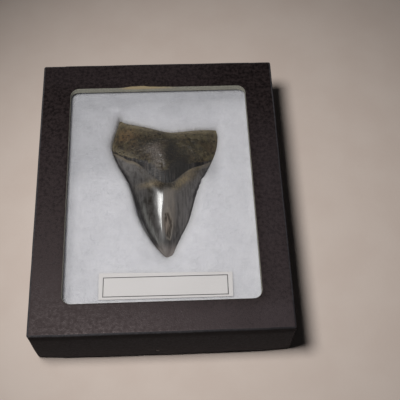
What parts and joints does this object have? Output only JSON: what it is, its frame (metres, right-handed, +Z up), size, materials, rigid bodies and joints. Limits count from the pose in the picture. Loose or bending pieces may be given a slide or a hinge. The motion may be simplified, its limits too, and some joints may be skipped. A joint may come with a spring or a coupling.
{
  "type": "fossil megalodon tooth in a glass-topped specimen box",
  "caption": "Fossil megalodon tooth on white batting under glass in a black paper-covered specimen box, with a blank ruled label card and side pins.",
  "frame": {"origin": "middle of the box's underside, on the surface that it rests on", "axes": "+Z up through the glass, +Y from the tooth's tip towards its root along the box's length, +X to the right with the tooth's inner face towards the viewer"},
  "size_m": [0.1142, 0.1412, 0.0318],
  "materials": {
    "fossil_enamel": "satin",
    "batting_fibre": "matte",
    "label_card": "matte",
    "pane": "polished",
    "black_paper": "satin",
    "pin_steel": "satin"
  },
  "bodies": {
    "root": {"tooth": "fossil_enamel", "batting": "batting_fibre", "label": "label_card", "glass": "pane", "lid": "black_paper", "tray": "black_paper", "pin_near": "pin_steel", "pin_far": "pin_steel"}
  },
  "joints": []
}
